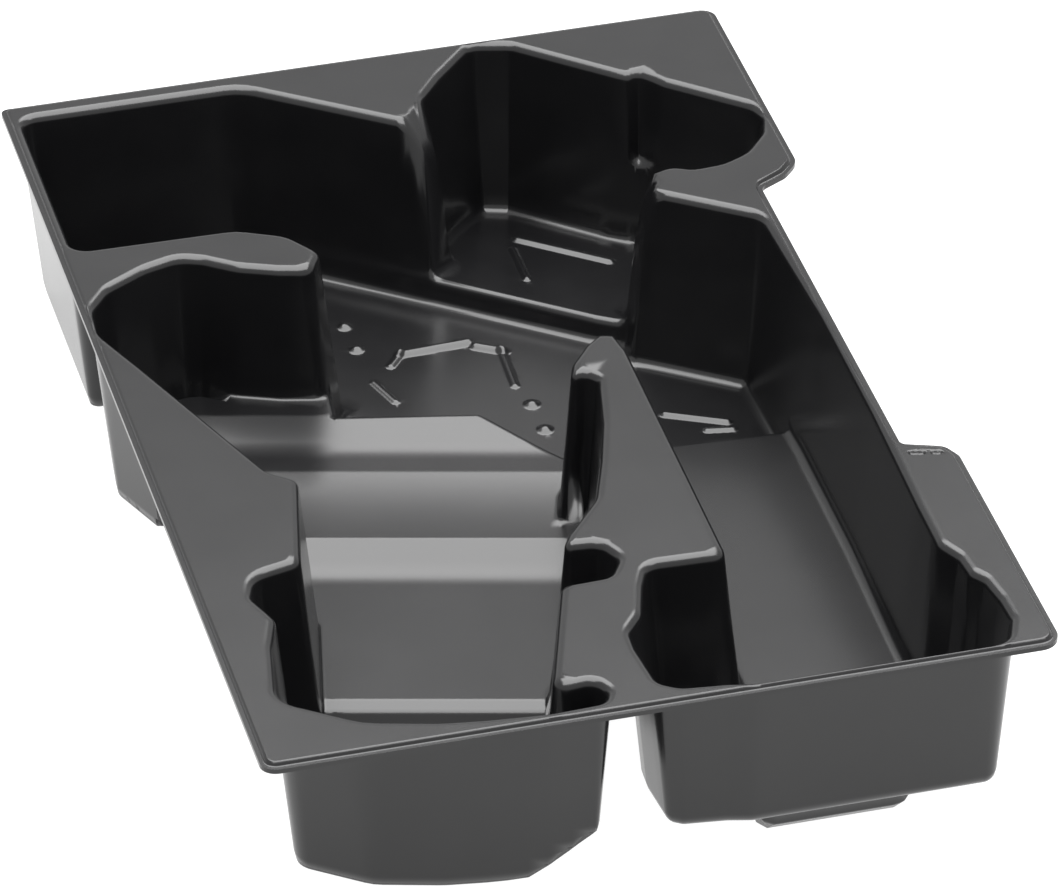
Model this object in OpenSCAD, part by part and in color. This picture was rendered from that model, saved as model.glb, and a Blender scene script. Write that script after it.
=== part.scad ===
// Tool case insert: one sheet of black plastic, formed into pockets that hang from a flat rim.
// X to the right, Y to the back, Z up. The lowest floor rests on z = 0 and the rim is on top.

/* [Overall] */
// Width of the rim
rim_w = 191.6; // [185:0.1:200]
// Length of the rim
rim_l = 304.6; // [300:0.1:312]
// Height from the lowest floor to the top of the rim
height = 51; // [44:0.5:60]

/* [Sheet] */
// Thickness of the formed sheet
sheet = 1.2; // [0.8:0.1:1.6]
// Lean of every wall away from upright, in degrees
draft = 5; // [3:0.5:7]
// Radius where a land rolls over into a wall
roll_r = 2.5; // [1.8:0.1:2.8]
// Radius where a wall meets its floor
foot_r = 3; // [2:0.1:3.6]
// How far the trimmed outer edge lies below the rim
lip_drop = 1; // [0.4:0.1:1.6]

/* [Floors, measured down from the rim] */
// Depth of the floor at the back right, along the edge of its step
back_right_depth = 43.4; // [42:0.1:45]
// How steeply that floor falls away from the step, in degrees
back_right_fall = 7; // [4:0.1:7.2]
// Depth of the raised plate at the front right
plate_depth = 42.5; // [38:0.5:46]
// Depth of the top step of the saddle
crest_depth = 37; // [32:0.5:40]
// Depth of the second step of the saddle, at its upper edge
bench_depth = 40.2; // [38.2:0.5:43.2]
// Depth of the wide step of the saddle
seat_depth = 46; // [43:0.5:47]
// Depth of the finger slots
slot_depth = 38; // [30:0.5:42]
// Depth of the walls of the front slot, whose floor is a ramp
front_slot_depth = 44; // [40:0.5:45]
// Depth of the groove in the wall at the back right
groove_depth = 26; // [20:0.5:34]

/* [Details] */
// Height of the stiffening beads on the floors
bead_h = 0.8; // [0.4:0.1:1.2]
// Width of the stiffening beads
bead_w = 2.4; // [1.6:0.1:3.2]
// Width of the square foot under the front right pocket
foot_w = 38; // [30:1:44]
// Length of that foot
foot_l = 30; // [20:1:36]
// Drop of the cut corner at the end of a land
land_cut = 9; // [5:0.5:12]

/* [Hidden] */

// The rim is centred on the origin, so the corners below are kept as distances from its centre
hx = rim_w / 2;
hy = rim_l / 2;
flange_step = 12.2;  // how far the right edge of the rim stands back along its middle
edge_w = 1.8;        // width of the trimmed edge that lies below the rim
over = 1;            // how far a cut runs past the face that it opens
slope = tan(draft);

// Corners of the pockets at the rim, as [x, y, radius]: walls first, then the open sides
rear_left_corner = [-91.7, 145.3, 5];
rear_land_corner = [-33.5, 145.3, 8];
rear_land_end = [9, 112.4, 2.5];
right_land_front = [54.6, 67.2, 3];
right_land_back = [55.3, 76, 3];
right_back_corner = [79.4, 48.2, 6];
step_end = [7.6, 107.5];        // the step at the back right runs through these two points
step_other_end = [43.5, 78.5];
lap = [0.3, 0.3, 0];  // the deep floor reaches this much further into the right pocket's walls
middle_land_left = [14.8, -11, 1.6];
left_land_tip = [-31.8, 60.3, 4];

// Outlines of the pockets at the rim, anticlockwise
deep_outline = [rear_left_corner, [-91.7, 79, 5], [-50, 77.8, 8], [-38, 71.5, 8], left_land_tip,
                [-33.5, 42.4, 2], [2.4, 33.8, 5], [20.5, 10, 3], [23.8, 7, 2], [35, 15.5, 3],
                [80.6, 12.3, 1], right_back_corner + lap, right_land_front + lap, concat(step_other_end, 3),
                concat(step_end, 3), rear_land_end, rear_land_corner];
back_right_outline = [rear_land_end, [-8, 100, 2], [30, 48, 2], [49, 42, 2], right_land_front - lap,
                      right_land_back, [66, 76.8, 8], [78, 75.2, 8], [89, 81, 6], [93.2, 92.5, 6],
                      [92, 101, 4], [39.4, 147.3, 4], [29, 149.8, 3], [10.2, 127.5, 5]];
right_outline = [right_back_corner, right_land_front, [24, 60, 2], [12, 30, 2], [27, 11.5, 2],
                 [30.5, -2, 4], [30, -96.8, 3], [9.5, -96, 4], [3.5, -116, 4], [-1, -122.5, 4],
                 [0.3, -145, 5], [18, -148.4, 4], [84, -149, 6], [87.3, -134, 8], [79.6, -108, 8],
                 [80.9, -30, 30]];
front_left_outline = [[-60.8, -37.4, 3], [-68.3, -72.6, 3], [-82, -76.6, 5], [-79.2, -92, 5],
                      [-86.4, -126, 7], [-69, -139.5, 12], [-44, -146, 12], [-25.2, -148, 3],
                      [-11, -98, 4], [-4.6, -79, 4], [5.7, -66.2, 8], [12.5, -47, 12],
                      [20.3, -14.5, 2], middle_land_left, [22.6, 5.4, 2], [20, 40, 2], [0, 66, 2],
                      left_land_tip, [-36.5, 53.6, 4], [-51, 58.2, 10], [-66, 68.4, 8],
                      [-88, 58.6, 7], [-93.8, 40, 6], [-86.8, 21.8, 20], [-66.6, -32.6, 5]];
back_slot_outline = [[-22, -98.6, 2], [0.5, -98, 4], [5.3, -90.5, 4], [2.5, -83.6, 4],
                     [-22, -81.5, 2]];
front_slot_outline = [[-38, -147.6, 2], [-14, -147.2, 3], [-11.6, -143, 3], [-14.5, -138, 3],
                      [-38, -138.4, 2]];
groove_outline = [[60, 118, 2], [68, 112.6, 2], [73.6, 117.6, 2.5], [71.6, 121.4, 2.2],
                  [68.4, 124.8, 2.2], [63.6, 124.4, 2.5]];

// Cut ends of two lands, as the two ends of the high edge and the low corner
rear_land_cut = [[2.5, 116], [11, 127], [10, 110.5]];
right_land_cut = [[55.5, 66.5], [58, 77], [52, 71.5]];

// Ends of the raised beads
deep_beads = [[[-6.8, 84.3], [11.5, 85.2]], [[13, 82.8], [19.5, 78.6]], [[-16.3, 72.2], [-13.1, 64]],
              [[18.4, 78.7], [17.1, 60]], [[52, 38.4], [66, 31]], [[60, 28.6], [66, 27.4]]];
back_right_beads = [[[32.8, 121], [32, 103]], [[35.5, 126.5], [56, 109.5]]];
pips = [[-17.3, 101.2], [-16.9, 89.7], [20.1, 52.3], [20.4, 40.1]];
pip_w = 3;
foot_corner = [25, -141.5];  // front left corner of the square foot

function unit(v) = v / norm(v);
function left_of(v) = [-v.y, v.x];
function cross2(a, b) = a.x * b.y - a.y * b.x;
function at(list, i) = list[(i + len(list)) % len(list)];
function flat(list) = [for (part = list) each part];
function xy(c) = [c.x, c.y];

// Where corner i of outline o lies when every side has moved inwards by d
function mitre(o, i, d) =
    let (e0 = unit(xy(at(o, i)) - xy(at(o, i - 1))),
         e1 = unit(xy(at(o, i + 1)) - xy(at(o, i))),
         n = left_of(e0) + left_of(e1))
    xy(at(o, i)) + n * d / (1 + left_of(e0) * left_of(e1));

// The arc at corner i: a corner that points outwards tightens as the outline shrinks
function corner_arc(o, i, d) =
    let (e0 = unit(xy(at(o, i)) - xy(at(o, i - 1))),
         e1 = unit(xy(at(o, i + 1)) - xy(at(o, i))),
         turn = cross2(e0, e1) > 0 ? 1 : -1,
         angle = acos(min(1, max(-1, e0 * e1))),
         m = mitre(o, i, d),
         room = 0.45 * min(norm(m - mitre(o, i - 1, d)), norm(m - mitre(o, i + 1, d))),
         wanted = max(0.6, at(o, i)[2] - turn * d) * tan(angle / 2),
         t = min(wanted, room),
         r = t / tan(angle / 2),
         steps = max(1, round(angle / 26)),
         start = m - e0 * t,
         centre = start + turn * r * left_of(e0))
    [for (k = [0:steps])
        let (a = turn * angle * k / steps, v = start - centre)
        centre + [v.x * cos(a) - v.y * sin(a), v.x * sin(a) + v.y * cos(a)]];

function ring(o, d) = flat([for (i = [0:len(o) - 1]) corner_arc(o, i, d)]);

// Top of a hollow: past the rim, or inside the thickness of the rim for the lower face
function lid(grow) = grow > 0 ? height - grow / 2 : height + over;

// Heights and insets of a pocket wall, from above the land down to the floor. grow is 0 for
// the upper face of the sheet and the sheet's thickness for its lower face.
function wall_profile(depth, grow, foot_in) =
    let (top = height - grow,
         low = height - depth - grow,
         roll = roll_r - grow,
         foot = foot_in + grow,
         lean = 90 - draft,
         base = (height - top) * slope - grow / cos(draft),
         reach = (top - low) * slope + base,
         roll_x = base - roll * tan(lean / 2),
         foot_x = reach + foot * tan(lean / 2))
    concat([[lid(grow), roll_x]],
           [for (a = [0, lean / 2, lean]) [top - roll + roll * cos(a), roll_x + roll * sin(a)]],
           [for (a = [lean, lean / 2, 0]) [low + foot - foot * cos(a), foot_x - foot * sin(a)]]);

// A solid with one outline at every height of the profile, which runs from top to bottom
module loft(o, profile) {
    rings = [for (p = profile) [for (q = ring(o, p[1])) [q.x, q.y, p[0]]]];
    n = len(rings[0]);
    sides = [for (j = [0:len(rings) - 2], i = [0:n - 1])
        let (a = j * n + i, b = j * n + (i + 1) % n)
        each [[a, b, b + n], [a, b + n, a + n]]];
    polyhedron(flat(rings), concat(sides,
        [[for (i = [n - 1:-1:0]) i]],
        [[for (i = [0:n - 1]) (len(rings) - 1) * n + i]]));
}

module pocket(o, depth, grow, foot = foot_r) loft(o, wall_profile(depth, grow, foot));

// Deep floor that runs from the back left, past the round seat, to the back of the right pocket
module deep_floor(grow) {
    pocket(deep_outline, height - sheet, grow);
}

// Pocket at the back right: one step above the deep floor, and falling away from that step
step_turn = atan2(step_other_end.y - step_end.y, step_other_end.x - step_end.x);
step_z = height - back_right_depth;
fallen_z = step_z - 60 * tan(back_right_fall);  // where its plane is 60 mm behind the step

// Height of that floor at a point, which never lies below the deep floor
function back_right_z(p) =
    max(sheet, step_z - max(0, (p - step_end) * [-sin(step_turn), cos(step_turn)]) * tan(back_right_fall));

module back_right_pocket(grow) {
    difference() {
        pocket(back_right_outline, height - sheet, grow);
        translate(step_end)
            rotate([0, 0, step_turn])
                rotate([90, 0, 90])
                    translate([0, 0, -40])
                        linear_extrude(height = 160)
                            polygon([[-60, step_z - grow], [0, step_z - grow],
                                     [60, fallen_z - grow / cos(back_right_fall)], [60, -20], [-60, -20]]);
    }
}

// Pocket at the front right, with the short box bay cut into the middle land
module right_pocket(grow) {
    pocket(right_outline, plate_depth, grow);
}

// Pocket at the front left, before the saddle rises out of its floor
module front_left_pocket(grow) {
    pocket(front_left_outline, height - sheet, grow);
}

// The saddle, as [place, height] along a line that runs from front to back: a lip, the seat, a
// scoop up to the bench, the bench, which also sweeps up, and a last scoop up to the crest
saddle_turn = 15.7;  // the steps run across the pocket, turned by this angle
crest_z = height - crest_depth;
bench_z = height - bench_depth;
seat_z = height - seat_depth;
saddle_left = -85;  // the saddle ends here, short of the left wall
saddle_line = [[-94, 0], [-86, seat_z - 4], [-83.2, seat_z - 0.9], [-81.5, seat_z],
               [-38, seat_z + 0.3], [-34.4, seat_z + 0.5], [-31, seat_z + 1.1], [-27.4, seat_z + 1.9],
               [-18.2, bench_z - 1.8], [-17, bench_z - 1.65], [-8, bench_z - 1.4],
               [1, bench_z - 0.8], [9, bench_z - 0.1], [10.2, bench_z], [15, bench_z],
               [18.5, bench_z + 0.25], [22, bench_z + 0.8], [33.4, crest_z], [60, crest_z]];

// What fills the front left pocket below the saddle. Its own underside lies a sheet lower.
module saddle_fill(grow) {
    rotate([0, 0, -saddle_turn])
        rotate([90, 0, 90])
            translate([0, 0, saddle_left + grow])
                linear_extrude(height = 120)
                    polygon(concat([for (p = saddle_line) [p[0], p[1] - grow]],
                                   [[60, -2 * sheet], [-94, -2 * sheet]]));
}

slot_foot = 0.6;  // the slots are too narrow at the bottom for the full foot radius

// Floor of the front slot: a ramp that rises out of the floor of that pocket
ramp_foot = -34.2;   // where it leaves the level of the ground
ramp_back = -137;    // how far it reaches to the back
ramp_rise = 34;      // degrees

module slot_ramp(grow) {
    drop = grow / cos(ramp_rise);
    slot_z = height - slot_depth;
    run = slot_z / tan(ramp_rise);
    translate([0, ramp_back - grow, 0])
        rotate([90, 0, 0])
            linear_extrude(height = 20)
                polygon([[ramp_foot, -drop], [ramp_foot + run, slot_z - drop],
                         [ramp_foot + run + 20, slot_z - drop], [ramp_foot + run + 20, -20],
                         [ramp_foot, -20]]);
}

// A land that is cut down to a corner: the low end lies land_cut below the rim
module corner_cut(high_a, high_b, low, grow) {
    drop = land_cut + grow;
    side = grow / cos(draft);
    top = lid(grow);
    hull() {
        for (p = [high_a, high_b])
            translate([p.x, p.y, height - grow])
                cylinder(r = 0.3 + side, h = top - height + grow, $fn = 12);
        translate([low.x, low.y, height - drop])
            cylinder(r = 3 + side, h = top - height + drop, $fn = 12);
    }
}

module land_cuts(grow) {
    for (c = [rear_land_cut, right_land_cut])
        corner_cut(c[0], c[1], c[2], grow);
}

// Depression in the raised plate that makes a square foot underneath
module foot_dent(grow) {
    d = foot_corner + [foot_w, foot_l] / 2;
    half = [foot_w / 2 - sheet + grow, foot_l / 2 - sheet + grow];
    translate([d.x, d.y, sheet - grow])
        hull() {
            linear_extrude(height = 0.01)
                offset(r = 2) square(2 * (half - [2, 2]), center = true);
            translate([0, 0, height - plate_depth])
                linear_extrude(height = 0.01)
                    offset(r = 2) square(2 * (half - [1.2, 1.2]), center = true);
        }
}

// Everything that is open above the sheet, or above its lower face when it is grown
module hollow(grow) {
    deep_floor(grow);
    back_right_pocket(grow);
    right_pocket(grow);
    difference() {
        union() {
            front_left_pocket(grow);
            pocket(front_slot_outline, front_slot_depth, grow, slot_foot);
        }
        saddle_fill(grow);
        slot_ramp(grow);
    }
    pocket(groove_outline, groove_depth, grow, slot_foot);
    pocket(back_slot_outline, slot_depth, grow, slot_foot);
    land_cuts(grow);
    foot_dent(grow);
}

rim_outline = [[hx - flange_step, -61.2, 2], [hx - flange_step, 62, 3], [hx - 4.4, 66.4, 6], [hx, 71.5, 6],
               [hx, hy, 4], [-hx, hy, 2], [-hx, -hy, 4], [hx, -hy, 5], [hx, -70, 4],
               [hx - 2.2, -65, 4]];

// Flat rim with a narrow trimmed edge, one small step down, all round it
module rim() {
    low = height - lip_drop;
    difference() {
        loft(rim_outline, [[height, edge_w + 0.7], [height - lip_drop / 3, edge_w + 0.2], [low, edge_w],
                           [low, 0], [low - sheet, 0]]);
        loft(rim_outline, [[height - sheet, edge_w + sheet + 0.5], [low - sheet, edge_w + sheet],
                           [low - sheet - over, edge_w + sheet]]);
    }
}

// A straight raised bead with round ends, between two points of a floor
module bead(a, b) {
    hull()
        for (p = [a, b])
            translate([p.x, p.y, p.z - sheet / 2])
                cylinder(r1 = bead_w / 2 + 0.4, r2 = bead_w / 2 - 0.4, h = bead_h + sheet / 2, $fn = 12);
}

module beads() {
    for (b = deep_beads) bead(concat(b[0], sheet), concat(b[1], sheet));
    for (b = back_right_beads) bead(concat(b[0], back_right_z(b[0])), concat(b[1], back_right_z(b[1])));
    for (p = pips)
        translate([p.x, p.y, sheet / 2])
            cylinder(r1 = pip_w / 2, r2 = pip_w / 2 - 0.6, h = bead_h + sheet / 2, $fn = 12);
}

module insert_tray() {
    color([0.1, 0.1, 0.105]) {
        difference() {
            union() {
                rim();
                hollow(sheet);
            }
            hollow(0);
        }
        beads();
    }
}

insert_tray();
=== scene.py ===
"""Looks of the tool case insert: one sheet of near-black plastic, formed into pockets.

The sheet's upper face is a height over the plan, worked out from the distance to the rim of
the pockets and from the floors below it. Plan sizes are in millimetres until the mesh is made.
"""

import math

import bpy
import numpy as np
from mathutils import Matrix, Vector
from mathutils.geometry import delaunay_2d_cdt

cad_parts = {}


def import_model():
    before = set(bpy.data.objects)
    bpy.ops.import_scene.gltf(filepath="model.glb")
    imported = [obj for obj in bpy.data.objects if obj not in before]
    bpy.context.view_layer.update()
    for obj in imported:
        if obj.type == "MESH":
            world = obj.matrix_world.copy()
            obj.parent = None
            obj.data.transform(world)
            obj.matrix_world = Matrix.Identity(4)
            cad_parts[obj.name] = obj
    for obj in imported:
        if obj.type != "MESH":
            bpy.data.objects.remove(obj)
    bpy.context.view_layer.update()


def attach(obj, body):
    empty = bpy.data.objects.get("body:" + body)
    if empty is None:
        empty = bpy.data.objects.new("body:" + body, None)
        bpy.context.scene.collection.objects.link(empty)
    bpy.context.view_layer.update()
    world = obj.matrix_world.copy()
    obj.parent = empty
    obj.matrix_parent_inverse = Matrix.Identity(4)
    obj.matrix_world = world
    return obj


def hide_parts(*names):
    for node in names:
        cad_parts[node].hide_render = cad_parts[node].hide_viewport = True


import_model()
MM = 0.001

# Driving sizes of the sheet, in millimetres and degrees

RIM_W = 191.6
RIM_L = 304.6
HEIGHT = 51.0
SHEET = 1.2
DRAFT = 5.0      # lean of every wall
ROLL = 2.5       # radius where a land rolls over into a wall
FOOT = 3.0       # radius where a wall meets its floor
EDGE_DROP = 1.0  # how far the trimmed edge lies below the rim
EDGE_W = 1.8     # width of that edge
EDGE_LEAN = 30
EDGE_ROLL = 0.35
EDGE_FOOT = 0.45
EDGE_BAND = 2.6  # only what lies less than this below the rim drops at the edge
HX = RIM_W / 2
HY = RIM_L / 2
RECESS = HX - 12.2

# Floors, as heights of the upper face
DEEP_Z = SHEET
BACK_RIGHT_Z = HEIGHT - 43.4
PLATE_Z = HEIGHT - 42.5
CREST_Z = HEIGHT - 37.0
SLOT_Z = HEIGHT - 38.0
GROOVE_Z = 25.0

# Steps between the floors
STEP_ROLL = 2.0
STEP_FOOT = 2.6
STEP_LEAN = 12
CREST_LEAN = 10
BACK_RIGHT_FALL = 7.0  # how steeply the back right floor falls away behind its step
BACK_RIGHT_FROM = 60.0  # everything behind this line of the plan belongs to that floor


# Outlines in the plan, as corners with their radii

RIM = [
    (RECESS, -61.2, 2), (RECESS, 62, 3), (HX - 4.4, 66.4, 6), (HX, 71.5, 6), (HX, HY, 4),
    (-HX, HY, 2), (-HX, -HY, 4), (HX, -HY, 5), (HX, -70, 4), (HX - 2.2, -65, 4),
]

# The edge of everything that is open, anticlockwise from the back left corner
CAVITY = [
    (-92, 145.3, 4.5), (-92, 78.6, 5), (-50, 77.8, 12), (-38, 71.5, 10), (-31.8, 61.5, 4),
    (-36.2, 53.4, 4), (-44, 55.6, 9), (-54, 60, 12), (-61.5, 65.8, 6), (-67, 68.2, 8),
    (-76, 65.4, 12), (-87, 58.8, 8), (-92.6, 51, 8), (-93.8, 40, 7.5), (-86.8, 21.8, 40),
    (-66.8, -32.6, 8), (-60.8, -37.6, 3), (-68.3, -72.4, 4), (-80.5, -75.4, 7),
    (-82.8, -83.5, 5), (-79.2, -93.5, 5), (-82.6, -104, 20), (-86.6, -126, 9),
    (-69, -139.6, 16), (-52, -144.6, 30), (-42, -146.2, 20), (-27, -147.8, 9),
    (-13.6, -147.2, 3.4), (-11.6, -142.8, 3.4), (-14, -138.2, 3.2), (-24.1, -139.2, 3),
    (-11.2, -98.3, 3), (1, -97.8, 4), (5.2, -90.6, 4.5), (2, -83.6, 4), (-6.6, -82.8, 3),
    (-4.2, -78, 6), (0, -72.6, 8), (6.2, -64.6, 12), (11.6, -49, 25), (16.4, -32.8, 25),
    (20.4, -14, 2.6), (18.2, -10.8, 2.2), (14.4, -10.8, 2.6), (16, -5.6, 6), (21.4, 1.8, 8),
    (28.8, 8.4, 2.6), (30.5, -3, 12), (30, -96.6, 3.4), (10.6, -95.8, 4.5),
    (7.6, -103, 12), (4.2, -114.6, 8), (-0.6, -121, 6), (-0.9, -128, 8), (0.4, -142.8, 5),
    (5, -146, 5), (16, -147.4, 9), (22, -149, 9), (83.4, -149, 6), (87, -139.6, 5),
    (86.8, -131, 8), (85.6, -122.6, 4), (83.2, -119, 4), (82.6, -112, 4), (79.5, -105.4, 6),
    (79.7, -87, 60), (80.9, -44, 90), (81.2, 0, 90), (79.6, 48.2, 7.5), (54.6, 67, 3),
    (55.3, 75.8, 3), (64.6, 77.4, 6), (69, 74.8, 6), (77, 75.4, 9), (84.4, 79, 10),
    (91.2, 87.6, 9), (93.6, 95.4, 6), (91.8, 101, 6), (73.2, 118.2, 3), (71, 121.4, 2.8),
    (68.2, 125.2, 2.6), (65, 123.8, 3), (62.4, 125.8, 4), (39.4, 147.3, 5), (29.2, 150, 4),
    (18, 137.4, 20), (10.8, 127.6, 6), (11, 117.4, 1.0), (7.4, 113.6, 1.0), (-33.7, 145.3, 12),
]
TIGHTEST = 1.2       # smallest corner radius of a pocket
CORNER_ROOM = 0.46   # share of a side that one rounded corner may take

# Edges of the floor steps, with the upper floor on the left of the line
BACK_RIGHT_EDGE = [(-10, 121.8), (43.5, 78.5), (62, 66)]
PLATE_EDGE = [(96, 11.4), (35, 15.4), (14, 16)]
CREST_EDGE = [(26, 2), (1.6, 33.4), (-33.5, 42), (-31.6, 62)]

# Line along the middle land, with the saddle on its right and the plate on its left
DIVIDE = [(40, 30), (26.5, 6), (24, -85), (7.6, -92), (-6, -112), (-6, -160)]

# The saddle lies turned in the plan. From its back to its front: places, and slopes in degrees
SADDLE_TURN = math.radians(15.7)
SADDLE_LEFT = -85.0
SADDLE_FOOT = 1.2
SADDLE_FALL = [
    (31.6, 0.0), (31.0, 12.0), (22.0, 12.0), (15.0, 0.0), (10.2, 0.0), (9.6, 6.5), (-17.0, 1.0),
    (-17.8, 15.0), (-24.5, 15.0), (-33.5, 0.5), (-81.2, 0.5), (-81.8, 15.5), (-84.6, 15.5),
    (-85.2, 50.0), (-87.6, 50.0), (-88.6, 0.0),
]
SADDLE_PITCH = 0.1

# Raised floors beside the pockets: the line across each mouth, with the slot on its left, the
# height of its floor, and how that rounds off at the mouth
SLOTS = [
    ((-6.4, -82.0), (-11.0, -99.5), SLOT_Z, 1.2),
    ((60.4, 127.2), (77.4, 115.4), GROOVE_Z, 1.4),
]
SLOT_FOOT = 1.0
SLOT_REACH = 30.0  # how far behind its mouth a slot may go
SLOT_WALL = 12.0   # how far in front of its mouth the wall below it may go
GROOVE_LEDGE = [(63.5, 122.0), (70.5, 116.5)]

# The front slot is so narrow that its walls nearly meet. Its floor is a ramp that comes up from
# the front left pocket
FRONT_SLOT_START = -33.5
FRONT_SLOT_BLEND = 4.0
FRONT_SLOT_END = -5.0
FRONT_SLOT_BACK = -135.0
RAMP_FOOT = -32.2
RAMP_BACK = -137.0
RAMP_RISE = 34.0

# Square hollow of the foot under the right pocket: its sides, and their roundings
FOOT_DENT = (25.0, 63.0, -141.5, -111.5)
DENT_CORNER = 3.0
DENT_ROUND = 1.5

# Ends of two lands that are cut down: two points of the fold, and the low corner
LAND_CUTS = [((2.6, 116.9), (10.2, 126.2), (9.6, 115)), ((56.5, 64.5), (59.5, 77.5), (54.6, 71))]
LAND_CUT = 9.0
CUT_REACH = 26.0
CUT_START = -0.4
CUT_EASE = 1.2

# Beads on the floors: both ends, half width and height
BEADS = [
    ((-6.8, 84.3), (11.5, 85.2), 2.1, 1.1), ((13, 82.8), (19.5, 78.6), 2.1, 1.1),
    ((-6.8, 84.3), (-10.4, 79.6), 1.6, 0.7), ((-16.3, 73.2), (-13.1, 63), 1.5, 0.55),
    ((18.9, 79.7), (18.1, 62), 1.6, 0.6),
    ((32.8, 121), (32, 103), 1.6, 0.8), ((35.5, 126.2), (56, 109.3), 2.2, 1.0),
    ((51.6, 38.6), (66, 31), 1.7, 0.9), ((60, 28.6), (66.5, 27.4), 1.5, 0.7),
]
PIPS = [(-17.3, 101.2), (-16.9, 89.7), (20.1, 52.3), (20.4, 40.1)]
PIP_R = 2.6
PIP_H = 1.1
DIMPLES = [((84.6, -66.9), (87.2, -67.6)), ((89.8, -68.2), (91.2, -68.6))]
DIMPLE_R = 1.1
DIMPLE_DEPTH = 0.8


# Lines and distances in the plan

def unit(v):
    return v / np.linalg.norm(v)


def corner_radius(radius, sign, inset):
    """Corners of a pocket tighten towards its floor, and those of a land hardly change."""
    return max(TIGHTEST, radius - inset) if sign > 0 else radius + 0.15 * inset


def rounded(corners, inset=0.0, turn_step=11.0, spacing=3.0):
    """Closed polyline through rounded corners, moved inwards. Every inset has as many points."""
    c = np.array([k[:2] for k in corners], float)
    n = len(c)
    before = np.array([unit(c[i] - c[i - 1]) for i in range(n)])
    after = np.roll(before, -1, axis=0)
    left_before = np.stack([-before[:, 1], before[:, 0]], 1)
    left_after = np.stack([-after[:, 1], after[:, 0]], 1)
    share = 1 + (left_before * left_after).sum(1)
    mitre = c + (left_before + left_after) * (inset / share)[:, None]
    side = np.linalg.norm(np.roll(mitre, -1, axis=0) - mitre, axis=1)
    signs = np.where(before[:, 0] * after[:, 1] - before[:, 1] * after[:, 0] > 0, 1.0, -1.0)
    angles = [math.acos(max(-1.0, min(1.0, float(b @ a)))) for b, a in zip(before, after)]
    reaches = []
    for i in range(n):
        wanted = corner_radius(corners[i][2], signs[i], inset) * math.tan(angles[i] / 2)
        reaches.append(min(wanted, CORNER_ROOM * min(side[i - 1], side[i])))
    points = []
    for i in range(n):
        radius = reaches[i] / math.tan(angles[i] / 2)
        steps = max(2, round(math.degrees(angles[i]) / turn_step))
        start = mitre[i] - before[i] * reaches[i]
        centre = start + signs[i] * radius * left_before[i]
        spoke = start - centre
        for k in range(steps + 1):
            a = signs[i] * angles[i] * k / steps
            points.append(centre + [spoke[0] * math.cos(a) - spoke[1] * math.sin(a),
                                    spoke[0] * math.sin(a) + spoke[1] * math.cos(a)])
        ahead = (i + 1) % n
        pieces = max(1, round(np.linalg.norm(c[ahead] - c[i]) / spacing) - 2)
        end = mitre[ahead] - after[i] * reaches[ahead]
        last = points[-1]
        points += [last + (end - last) * k / pieces for k in range(1, pieces)]
    return np.array(points)


def distance_to(points, line, closed):
    """Distance from each point to a polyline."""
    a = line if closed else line[:-1]
    b = np.roll(line, -1, axis=0) if closed else line[1:]
    best = np.full(len(points), 1e9)
    for p, q in zip(a, b):
        d = q - p
        t = np.clip(((points - p) @ d) / max(1e-12, d @ d), 0, 1)
        gap = points - p - t[:, None] * d
        np.minimum(best, (gap * gap).sum(1), out=best)
    return np.sqrt(best)


def inside(points, line):
    """True for each point inside a closed polyline."""
    x, y = points[:, 0], points[:, 1]
    result = np.zeros(len(points), bool)
    for p, q in zip(line, np.roll(line, -1, axis=0)):
        if p[1] == q[1]:
            continue
        crosses = (p[1] > y) != (q[1] > y)
        result ^= crosses & (x < (q[0] - p[0]) * (y - p[1]) / (q[1] - p[1]) + p[0])
    return result


def depth_into(points, line):
    """Signed distance to a closed polyline, positive inside."""
    return distance_to(points, line, True) * np.where(inside(points, line), 1, -1)


def left_of(points, line):
    """Signed distance to an open polyline, positive on its left, with its ends carried on."""
    line = np.array(line, float)
    carried = 9
    first = line[0] + (line[0] - line[1]) * carried
    last = line[-1] + (line[-1] - line[-2]) * carried
    line = np.array([first, *line[1:-1], last])
    best = np.full(len(points), 1e9)
    sign = np.ones(len(points))
    for p, q in zip(line[:-1], line[1:]):
        d = q - p
        t = np.clip(((points - p) @ d) / (d @ d), 0, 1)
        gap = points - p - t[:, None] * d
        size = (gap * gap).sum(1)
        nearer = size < best
        best = np.where(nearer, size, best)
        side = np.sign(d[0] * (points[:, 1] - p[1]) - d[1] * (points[:, 0] - p[0]))
        sign = np.where(nearer, side, sign)
    return np.sqrt(best) * sign


def dense(line, spacing):
    """Points along an open polyline at an even spacing."""
    line = np.array(line, float)
    points = []
    for p, q in zip(line[:-1], line[1:]):
        n = max(1, round(np.linalg.norm(q - p) / spacing))
        points += [p + (q - p) * k / n for k in range(n)]
    return np.array(points + [line[-1]])


def shifted(line, offset):
    """An open polyline moved to its left by that much."""
    line = np.array(line, float)
    d = np.array([unit(b - a) for a, b in zip(line[:-1], line[1:])])
    n = np.stack([-d[:, 1], d[:, 0]], 1)
    moved = [line[0] + n[0] * offset]
    for i in range(1, len(line) - 1):
        moved.append(line[i] + (n[i - 1] + n[i]) * offset / (1 + n[i - 1] @ n[i]))
    return np.array(moved + [line[-1] + n[-1] * offset])


def in_front_slot(points):
    """Share, from 0 to 1, to which each point belongs to the narrow slot at the front."""
    x, y = points[:, 0], points[:, 1]
    share = np.clip((x - FRONT_SLOT_START) / FRONT_SLOT_BLEND, 0, 1)
    return share * (y < FRONT_SLOT_BACK) * (x < FRONT_SLOT_END)


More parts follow.
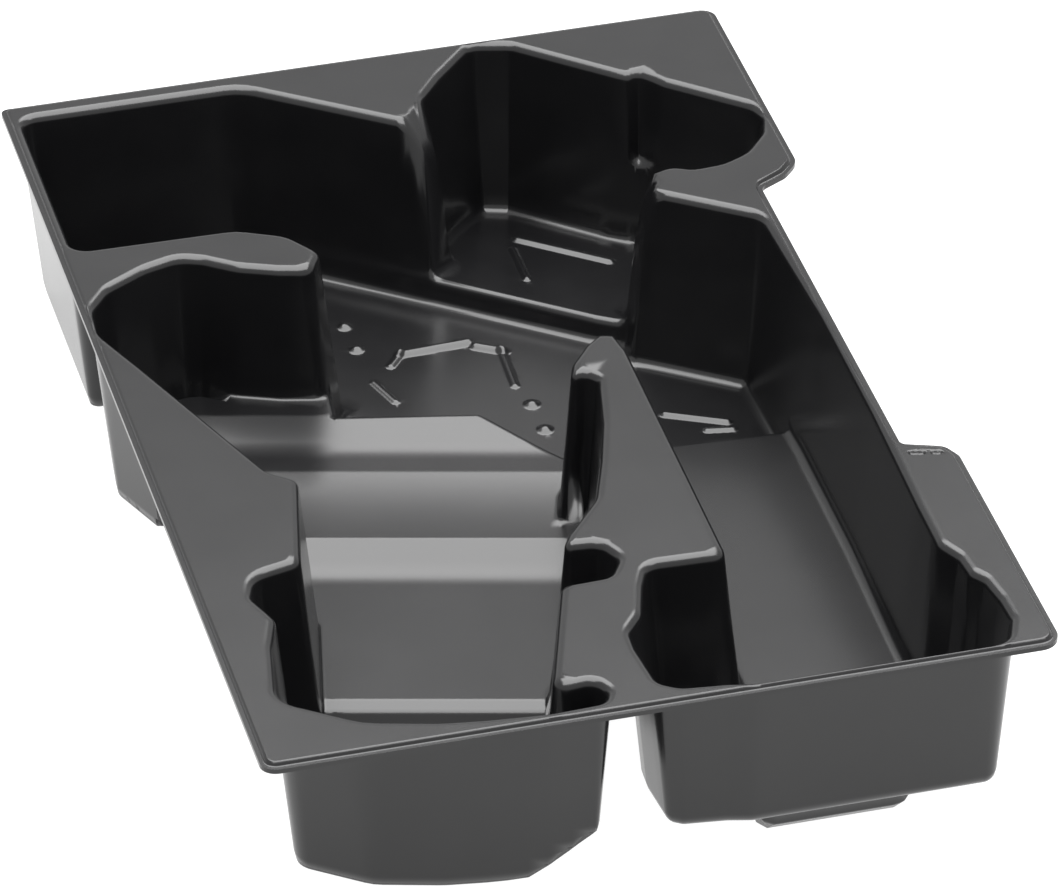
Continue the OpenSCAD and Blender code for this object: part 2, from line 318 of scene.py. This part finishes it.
class Pocket:
    """The walls of the pocket: one outline at the rim and one at the lowest floor."""

    def __init__(self, corners):
        self.corners = corners
        self.reach = (HEIGHT - DEEP_Z) * math.tan(math.radians(DRAFT))
        self.upper = rounded(corners)
        self.lower = rounded(corners, self.reach)

    def ring(self, inset):
        """Outline at that distance in from the rim of the pocket."""
        if 0 <= inset <= self.reach:
            return self.upper + (self.lower - self.upper) * inset / self.reach
        return rounded(self.corners, inset)

    def depth(self, points):
        """How far in from the rim each point lies, measured across the wall."""
        outer = depth_into(points, self.upper)
        inner = depth_into(points, self.lower)
        share = outer / np.maximum(1e-9, outer - inner)
        across = np.where(inner > 0, self.reach + inner, share * self.reach)
        across = across + (outer - across) * in_front_slot(points)
        return np.where(outer < 0, outer, across)


# Heights

def fall(d, top, low, roll, foot, draft):
    """Height at distance d past the edge of a land: it rolls over, falls, and meets the floor."""
    lean = math.radians(90 - draft)
    k = math.tan(math.radians(draft))
    x = d + roll * math.tan(lean / 2)
    y = (top - low) * k + foot * math.tan(lean / 2) - d
    z = top - d / k
    rolled = top - roll + np.sqrt(np.clip(roll * roll - x * x, 0, None))
    z = np.where(x <= roll * math.sin(lean), rolled, z)
    z = np.where(x <= 0, top, z)
    footed = low + foot - np.sqrt(np.clip(foot * foot - y * y, 0, None))
    z = np.where((y <= foot * math.sin(lean)) & (x > roll * math.sin(lean) * 0.5), footed, z)
    return np.where(y <= 0, low, z)


def low_step_share(d):
    """Share of a low step that is left at distance d past its edge."""
    return fall(d, 1.0, 0.0, 0.22, 0.22, 55)


def crest_share(d):
    """Share of the saddle's height that is left at distance d past the edge of its crest."""
    z = fall(d, CREST_Z, DEEP_Z, STEP_ROLL, STEP_FOOT, CREST_LEAN)
    return (z - DEEP_Z) / (CREST_Z - DEEP_Z)


def eased_min(a, b, ease):
    """The lower of two heights, with a soft fold where they cross."""
    share = np.clip(0.5 + 0.5 * (a - b) / ease, 0, 1)
    return a * (1 - share) + b * share - ease * share * (1 - share)


def dome(d, width, height):
    """Smooth bump of that height that ends at that distance."""
    t = np.clip(d / width, 0, 1)
    return height * (1 - t * t) ** 2


def ridge(p, a, b, width, height):
    """Raised bead from a to b with round ends."""
    return dome(distance_to(p, np.array([a, b], float), False), width, height)


def saddle_table():
    """Heights along the saddle, summed up from its slopes."""
    places, slopes = np.array(SADDLE_FALL).T
    along = np.arange(places[0], places[-1], -SADDLE_PITCH)
    slope = np.interp(-along, -places, slopes)
    return along, CREST_Z - np.cumsum(np.tan(np.radians(slope)) * SADDLE_PITCH)


SADDLE_ALONG, SADDLE_Z = saddle_table()


def saddle_place(p):
    """Each point as its place across the saddle and along it."""
    c, s = math.cos(SADDLE_TURN), math.sin(SADDLE_TURN)
    return p[:, 0] * c - p[:, 1] * s, p[:, 0] * s + p[:, 1] * c


def saddle_height(p):
    """Height of the saddle, whose left end drops to the deep floor."""
    across, along = saddle_place(p)
    z = np.maximum(np.interp(along, SADDLE_ALONG[::-1], SADDLE_Z[::-1]), DEEP_Z)
    return DEEP_Z + (z - DEEP_Z) * low_step_share(SADDLE_LEFT - across)


def back_right_height(p):
    """Height of the floor at the back right, which falls away behind its step."""
    behind = left_of(p, BACK_RIGHT_EDGE)
    z = fall(-behind, BACK_RIGHT_Z, DEEP_Z, STEP_ROLL, STEP_FOOT, STEP_LEAN)
    ease = 1.0
    fallen = np.sqrt(np.clip(behind, 0, None) ** 2 + ease) - ease
    return np.maximum(z - fallen * math.tan(math.radians(BACK_RIGHT_FALL)), DEEP_Z)


def slot_floor(p, slot, low):
    """Floor of a slot, which ends in a wall down to the pocket beside it."""
    a, b, z, roll = slot
    a, b = np.array(a), np.array(b)
    run = unit(b - a)
    into = (p - a) @ np.array([-run[1], run[0]])
    edge = -into - (HEIGHT - z) * math.tan(math.radians(DRAFT))
    floor = fall(edge, z, np.minimum(low, z), roll, SLOT_FOOT, DRAFT)
    beside = ((p - a) @ run > 0) & ((p - b) @ run < 0) & (into < SLOT_REACH) & (edge < SLOT_WALL)
    return np.where(beside, floor, low)


def ramp_height(p):
    """Height of the ramp in the front slot, and zero to the right of it."""
    rise = (p[:, 0] - RAMP_FOOT) * math.tan(math.radians(RAMP_RISE))
    rise = np.clip(rise, 0, SLOT_Z - DEEP_Z) * low_step_share(p[:, 1] - RAMP_BACK)
    return np.where(p[:, 0] < FRONT_SLOT_END, DEEP_Z + rise, 0.0)


def foot_dent(p):
    """How far each point lies inside the square hollow of the foot."""
    x0, x1, y0, y1 = FOOT_DENT
    x, y = p[:, 0], p[:, 1]
    dx = np.maximum(np.maximum(x0 + DENT_CORNER - x, x - x1 + DENT_CORNER), 0)
    dy = np.maximum(np.maximum(y0 + DENT_CORNER - y, y - y1 + DENT_CORNER), 0)
    inner = np.minimum(np.minimum(x - x0, x1 - x), np.minimum(y - y0, y1 - y))
    return np.minimum(inner, DENT_CORNER - np.hypot(dx, dy))


def floor_height(p):
    """Height of whatever floor lies at each point of the plan."""
    plate = fall(-left_of(p, PLATE_EDGE), PLATE_Z, DEEP_Z, STEP_ROLL, STEP_FOOT, STEP_LEAN)
    saddle = DEEP_Z + (saddle_height(p) - DEEP_Z) * crest_share(-left_of(p, CREST_EDGE))
    front = np.maximum(np.where(left_of(p, DIVIDE) < 0, saddle, plate), DEEP_Z)
    z = np.where(p[:, 1] > BACK_RIGHT_FROM, back_right_height(p), front)
    dent = foot_dent(p)
    hollow = fall(dent, PLATE_Z, DEEP_Z, DENT_ROUND, DENT_ROUND, STEP_LEAN)
    z = np.where(dent > -DENT_CORNER, np.minimum(z, hollow), z)
    for slot in SLOTS:
        z = np.maximum(z, slot_floor(p, slot, z))
    return np.maximum(z, ramp_height(p))


def land_height(p):
    """Height of the flat land, with the two land ends cut down to a corner."""
    z = np.full(len(p), HEIGHT)
    for a, b, low in LAND_CUTS:
        a, b, low = (np.array(v, float) for v in (a, b, low))
        d = unit(b - a)
        n = np.array([-d[1], d[0]])
        n = n if (low - a) @ n > 0 else -n
        t = ((p - a) @ n) / ((low - a) @ n)
        cut = eased_min(HEIGHT, HEIGHT - LAND_CUT * t, CUT_EASE)
        near = (np.linalg.norm(p - low, axis=1) < CUT_REACH) & (t > CUT_START)
        z = np.where(near, np.minimum(z, cut), z)
    return z


def height_at(p, pocket, rim):
    """Height of the sheet's upper face at each point of the plan."""
    land = land_height(p)
    d = pocket.depth(p) - (HEIGHT - land) * math.tan(math.radians(DRAFT))
    on_saddle = (left_of(p, DIVIDE) < 0) & (left_of(p, CREST_EDGE) > 0)
    z = fall(d, land, floor_height(p), ROLL, np.where(on_saddle, SADDLE_FOOT, FOOT), DRAFT)
    edge = fall(EDGE_W - depth_into(p, rim), EDGE_DROP, 0.0, EDGE_ROLL, EDGE_FOOT, EDGE_LEAN)
    z = z + np.where(z > HEIGHT - EDGE_BAND, edge - EDGE_DROP, 0.0)
    for a, b, width, height in BEADS:
        z = z + ridge(p, a, b, width, height)
    for c in PIPS:
        z = z + dome(np.linalg.norm(p - np.array(c), axis=1), PIP_R, PIP_H)
    for a, b in DIMPLES:
        z = z - ridge(p, a, b, DIMPLE_R, DIMPLE_DEPTH)
    return z


# Points of the mesh

# Edge of each floor step, and how far before and after it the mesh has lines of points
STEP_LINES = [(BACK_RIGHT_EDGE, 2.2, 4.2), (PLATE_EDGE, 2.2, 4.2), (CREST_EDGE, 2.2, 4.6)]
STEP_LINE_COUNT = 15
EDGE_INSETS = (EDGE_W - 0.9, EDGE_W - 0.45, EDGE_W, EDGE_W + 0.35, EDGE_W + 0.7, EDGE_W + 1.4)
BEND_OFFSETS = (-1.8, -0.9, -0.3, 0.3, 0.9, 1.8)
PITCH_X = 2.6
PITCH_Y = 2.2
ROW_PITCH = 2.4
FINE_PITCH = 0.4


def wall_insets():
    """Distances from the pocket edge at which the mesh has a ring of points."""
    lean = math.radians(90 - DRAFT)
    start = -ROLL * math.tan(lean / 2)
    rolls = [start + ROLL * math.sin(lean * k / 5) for k in range(6)]
    k = math.tan(math.radians(DRAFT))
    first = (HEIGHT - CREST_Z) * k - 0.3
    last = (HEIGHT - DEEP_Z) * k + FOOT * math.tan(lean / 2)
    feet = [first + (last - first) * (j / 12) ** 1.15 for j in range(13)]
    return [start - 0.5] + rolls + [1.5] + feet + [last + 0.5]


INSETS = wall_insets()
ON_WALL = INSETS[7]   # past this inset a point has left the roll of the land's edge
ON_FLOOR = INSETS[9]


class Plan:
    """Collects points and the edges that the triangles must keep."""

    def __init__(self):
        self.points = []
        self.edges = []

    def scatter(self, points):
        """Adds loose points, and returns where they are in the list."""
        base = len(self.points)
        self.points += [Vector((float(x), float(y))) for x, y in points]
        return list(range(base, len(self.points)))

    def add(self, points, keep=None, closed=False):
        """Adds a line of points with the edges between neighbours that are kept."""
        keep = np.ones(len(points), bool) if keep is None else keep
        kept = np.flatnonzero(keep)
        index = dict(zip(kept.tolist(), self.scatter(points[kept])))
        n = len(points)
        for i in range(n if closed else n - 1):
            j = (i + 1) % n
            if i in index and j in index:
                self.edges.append((index[i], index[j]))
        return list(index.values())


def saddle_points(across, along):
    """Points of the plan at places across the saddle and along it."""
    c, s = math.cos(SADDLE_TURN), math.sin(SADDLE_TURN)
    return np.column_stack([across * c + along * s, along * c - across * s])


def saddle_rows():
    """Places along the saddle at which the mesh has a row of points: close at each bend."""
    rows = sorted(place + offset for place, _ in SADDLE_FALL for offset in BEND_OFFSETS)
    spread = [rows[0]]
    for place in rows[1:]:
        gap = place - spread[-1]
        if gap > 3.2:
            count = math.ceil(gap / ROW_PITCH)
            spread += [spread[-1] + gap * k / count for k in range(1, count)]
        if place - spread[-1] > 0.25:
            spread.append(place)
    return spread


def add_rings(plan, pocket, rim):
    """Rings of points along the trimmed edge and down the walls."""
    for inset in EDGE_INSETS:
        plan.add(rounded(RIM, inset), closed=True)
    for inset in INSETS:
        ring = pocket.ring(inset)
        true = pocket.depth(ring)
        keep = (np.abs(true - inset) < 0.12) & (depth_into(ring, rim) > 0.05)
        plan.add(ring, keep, closed=True)


def add_floor_lines(plan, pocket):
    """Lines of points along the floor steps, the saddle, its left end and the ramp's side."""
    for line, before, after in STEP_LINES:
        for offset in np.linspace(before, -after, STEP_LINE_COUNT):
            points = dense(shifted(line, offset), 1.6)
            true = left_of(points, line)
            plan.add(points, (pocket.depth(points) > ON_WALL) & (np.abs(true - offset) < 0.1))
    for place in saddle_rows():
        across = np.arange(SADDLE_LEFT - 12, 45, ROW_PITCH)
        points = saddle_points(across, np.full(len(across), place))
        keep = (left_of(points, DIVIDE) < -1) & (pocket.depth(points) > ON_WALL)
        plan.add(points, keep & (left_of(points, CREST_EDGE) > 2.4))
    for offset in np.arange(-2.6, 0.8, 0.3):
        along = np.arange(-30, 62, ROW_PITCH)
        points = saddle_points(np.full(len(along), SADDLE_LEFT + offset), along)
        plan.add(points, pocket.depth(points) > ON_WALL)
    for y in np.arange(RAMP_BACK - 0.6, RAMP_BACK + 2.6, FINE_PITCH):
        xs = np.arange(RAMP_FOOT - 2, -20, 1.5)
        points = np.column_stack([xs, np.full(len(xs), y)])
        plan.add(points, pocket.depth(points) > ON_FLOOR)


def fine_features():
    """The small features that get a fine grid: the line of each, and its half width."""
    features = [(np.array([a, b], float), width) for a, b, width, height in BEADS]
    features += [(np.array([c, c], float) + [[0, 0], [0.01, 0]], PIP_R) for c in PIPS]
    features += [(np.array([a, b], float), DIMPLE_R) for a, b in DIMPLES]
    return features + [(np.array(GROOVE_LEDGE), 3.6)]


def fine_grid(line, width):
    """Close points on and around a small feature."""
    margin = 0.3
    low, high = line.min(0) - width - margin, line.max(0) + width + margin
    xs = np.arange(low[0], high[0], FINE_PITCH)
    ys = np.arange(low[1], high[1], FINE_PITCH)
    grid = np.array([(x, y) for x in xs for y in ys])
    return grid[distance_to(grid, line, False) < width + margin]


def wide_grid(pocket, rim, features):
    """Staggered points on the open lands and floors, clear of everything finer."""
    xs = np.arange(-HX + 3, HX - 2, PITCH_X)
    ys = np.arange(-HY + 3, HY - 2, PITCH_Y)
    grid = np.array([(x + PITCH_X / 2 * (i % 2), y) for i, y in enumerate(ys) for x in xs])
    into = pocket.depth(grid)
    keep = (into < INSETS[0] - 0.8) | (into > INSETS[-1] + 0.8)
    keep &= depth_into(grid, rim) > EDGE_W + 2.2
    for line, before, after in STEP_LINES:
        side = left_of(grid, line)
        beside = distance_to(grid, np.array(line, float), False) < abs(side) + 0.1
        keep &= ~((side < before + 0.5) & (side > -after - 0.5) & (into > 0) & beside)
    for line, width in features:
        keep &= distance_to(grid, line, False) > width + 0.5
    keep &= ~((left_of(grid, DIVIDE) < -1) & (left_of(grid, CREST_EDGE) > 2.0))
    return grid[keep]


# Mesh of the sheet

def surface_normals(p, pocket, rim):
    """Normals of the upper face, from its slopes."""
    h = 0.02
    dx = (height_at(p + [h, 0], pocket, rim) - height_at(p - [h, 0], pocket, rim)) / (2 * h)
    dy = (height_at(p + [0, h], pocket, rim) - height_at(p - [0, h], pocket, rim)) / (2 * h)
    normal = np.stack([-dx, -dy, np.ones(len(p))], 1)
    return normal / np.linalg.norm(normal, axis=1)[:, None]


def triangles(plan, boundary):
    """Points of the plan and triangles between them, all anticlockwise."""
    flat, _, faces, *_ = delaunay_2d_cdt(plan.points, plan.edges, [boundary], 1, 1e-4)
    p = np.array([(v.x, v.y) for v in flat])
    tris = np.array([f for f in faces if len(f) == 3])
    a, b, c = (p[tris[:, k]] for k in range(3))
    area = (b[:, 0] - a[:, 0]) * (c[:, 1] - a[:, 1]) - (b[:, 1] - a[:, 1]) * (c[:, 0] - a[:, 0])
    return p, np.where((area < 0)[:, None], tris[:, ::-1], tris)


def outer_edges(tris):
    """Edges that only one triangle has."""
    edges = {}
    for t in tris:
        for i in range(3):
            edges[int(t[i]), int(t[(i + 1) % 3])] = True
    return [e for e in edges if (e[1], e[0]) not in edges]


def sheet_mesh():
    """The sheet as a closed mesh: upper face, under face, and the cut edge between them."""
    pocket = Pocket(CAVITY)
    rim = rounded(RIM)
    plan = Plan()
    boundary = plan.add(rim, closed=True)
    add_rings(plan, pocket, rim)
    add_floor_lines(plan, pocket)
    features = fine_features()
    plan.scatter(wide_grid(pocket, rim, features))
    for line, width in features:
        plan.scatter(fine_grid(line, width))
    p, tris = triangles(plan, boundary)
    top = np.column_stack([p, height_at(p, pocket, rim)])
    normal = surface_normals(p, pocket, rim)
    under = np.clip(top - normal * SHEET, [-HX, -HY, 0], [HX, HY, HEIGHT])
    n = len(p)
    edges = outer_edges(tris)
    faces = [tuple(map(int, t)) for t in tris]
    faces += [tuple(int(v) + n for v in t[::-1]) for t in tris]
    faces += [(b, a, a + n, b + n) for a, b in edges]
    mesh = bpy.data.meshes.new("insert_sheet")
    mesh.from_pydata([tuple(v) for v in np.vstack([top, under]) * MM], [], faces)
    mesh.polygons.foreach_set("use_smooth", np.ones(len(mesh.polygons), bool))
    split = [tuple(normal[v]) for t in tris for v in t]
    split += [tuple(-normal[v]) for t in tris for v in t[::-1]]
    for a, b in edges:
        d = p[b] - p[a]
        out = unit(np.array([d[1], -d[0]]))
        split += [(out[0], out[1], 0.0)] * 4
    mesh.normals_split_custom_set(split)
    mesh.update()
    print("sheet", n, "points", len(faces), "faces")
    return mesh


# Materials

def connect(value, socket):
    """Feeds a socket from another one or from a plain value."""
    if isinstance(value, Value):
        value.tree.links.new(value.socket, socket)
    else:
        socket.default_value = value


class Value:
    """A shader socket that can be used in sums and products."""

    def __init__(self, tree, socket):
        self.tree = tree
        self.socket = socket

    def combine(self, operation, other):
        node = self.tree.nodes.new("ShaderNodeMath")
        node.operation = operation
        connect(self, node.inputs[0])
        connect(other, node.inputs[1])
        return Value(self.tree, node.outputs[0])

    def __add__(self, other):
        return self.combine("ADD", other)

    __radd__ = __add__

    def __mul__(self, other):
        return self.combine("MULTIPLY", other)

    __rmul__ = __mul__


class Finish:
    """A material with one Principled shader, and short ways to add nodes to it."""

    def __init__(self, name):
        self.material = bpy.data.materials.new(name)
        self.material.use_nodes = True
        self.tree = self.material.node_tree
        self.shader = self.tree.nodes["Principled BSDF"]

    def node(self, kind, out=0, **inputs):
        node = self.tree.nodes.new(kind)
        for key, value in inputs.items():
            connect(value, node.inputs[key.replace("_", " ")])
        return Value(self.tree, node.outputs[out])

    def between(self, share, first, second):
        """A colour between two others."""
        node = self.tree.nodes.new("ShaderNodeValToRGB")
        for element, place, colour in zip(node.color_ramp.elements, (0.0, 1.0), (first, second)):
            element.position = place
            element.color = (*colour, 1)
        connect(share, node.inputs["Fac"])
        return Value(self.tree, node.outputs[0])

    def feed(self, name, value):
        connect(value, self.shader.inputs[name])


def formed_plastic():
    """Near-black sheet: satin, with a fine grain, soft waviness and a faint dusty bloom."""
    f = Finish("formed_black_plastic")
    place = f.node("ShaderNodeTexCoord", out=3)
    broad, cloud, grain = (
        f.node("ShaderNodeTexNoise", Vector=place, Scale=scale, Detail=detail, Roughness=rough)
        for scale, detail, rough in ((14.0, 3.0, 0.5), (55.0, 4.0, 0.6), (2600.0, 2.0, 0.5)))
    shade = f.node("ShaderNodeMapRange", Value=cloud, From_Min=0.3, From_Max=0.7,
                   To_Min=0.0, To_Max=1.0)
    f.feed("Base Color", f.between(shade, (0.0042, 0.0042, 0.0046), (0.0060, 0.0060, 0.0064)))
    f.feed("Roughness", 0.17 + 0.07 * broad + 0.03 * grain)
    relief = 0.25 * broad + 0.03 * grain
    f.feed("Normal", f.node("ShaderNodeBump", Height=relief, Strength=0.25, Distance=0.0006))
    f.feed("Specular IOR Level", 0.5)
    return f.material


def pale_floor():
    """Floor that looks pure white and hardly shows a shadow."""
    f = Finish("pale_floor")
    f.feed("Base Color", (0.15, 0.15, 0.15, 1))
    f.feed("Roughness", 0.8)
    f.feed("Emission Color", (1, 1, 1, 1))
    f.feed("Emission Strength", 1.0)
    return f.material


# Build

def placed(name, data):
    """A new object in the scene."""
    obj = bpy.data.objects.new(name, data)
    bpy.context.scene.collection.objects.link(obj)
    return obj


insert_sheet = placed("insert_sheet", sheet_mesh())
insert_sheet.data.materials.append(formed_plastic())
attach(insert_sheet, "root")
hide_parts("insert_tray")


# Floor, light and camera

def floor(half):
    mesh = bpy.data.meshes.new("floor")
    corners = [(-half, -half, 0), (half, -half, 0), (half, half, 0), (-half, half, 0)]
    mesh.from_pydata(corners, [], [(0, 1, 2, 3)])
    mesh.materials.append(pale_floor())
    placed("floor", mesh)


def softbox(name, place, aim, size, power):
    light = bpy.data.lights.new(name, "AREA")
    light.shape = "RECTANGLE"
    light.size, light.size_y = size
    light.energy = power
    obj = placed(name, light)
    obj.location = place
    obj.rotation_euler = (Vector(aim) - Vector(place)).to_track_quat("-Z", "Y").to_euler()


def camera():
    """The photograph's camera, fitted to the corners of the rim."""
    azimuth, elevation, roll = (math.radians(a) for a in (-14.021, 33.42, -0.918))
    distance = 1.9947
    aim = Vector((0.0088, 0.0098, 0.0176))
    focal_px, photo_px = 7986.3, 1060
    ahead = Vector((-math.sin(azimuth) * math.cos(elevation),
                    math.cos(azimuth) * math.cos(elevation), -math.sin(elevation)))
    right = Vector((math.cos(azimuth), math.sin(azimuth), 0))
    up = right.cross(ahead)
    across = math.cos(roll) * right + math.sin(roll) * up
    upward = -math.sin(roll) * right + math.cos(roll) * up
    data = bpy.data.cameras.new("camera")
    data.sensor_width = 36
    data.lens = 36 * focal_px / photo_px
    data.clip_end = 20
    obj = placed("camera", data)
    turn = Matrix((across, upward, -ahead)).transposed()
    obj.matrix_world = Matrix.Translation(aim - ahead * distance) @ turn.to_4x4()
    bpy.context.scene.camera = obj


def world():
    w = bpy.data.worlds.new("studio")
    w.use_nodes = True
    background = w.node_tree.nodes["Background"]
    background.inputs["Color"].default_value = (1, 1, 1, 1)
    background.inputs["Strength"].default_value = 0.92
    bpy.context.scene.world = w
    bpy.context.scene.view_settings.view_transform = "Standard"


floor(3.0)
softbox("overhead", (0.25, 0.35, 1.5), (0.25, 0.35, 0), (2.2, 2.3), 108)
camera()
world()
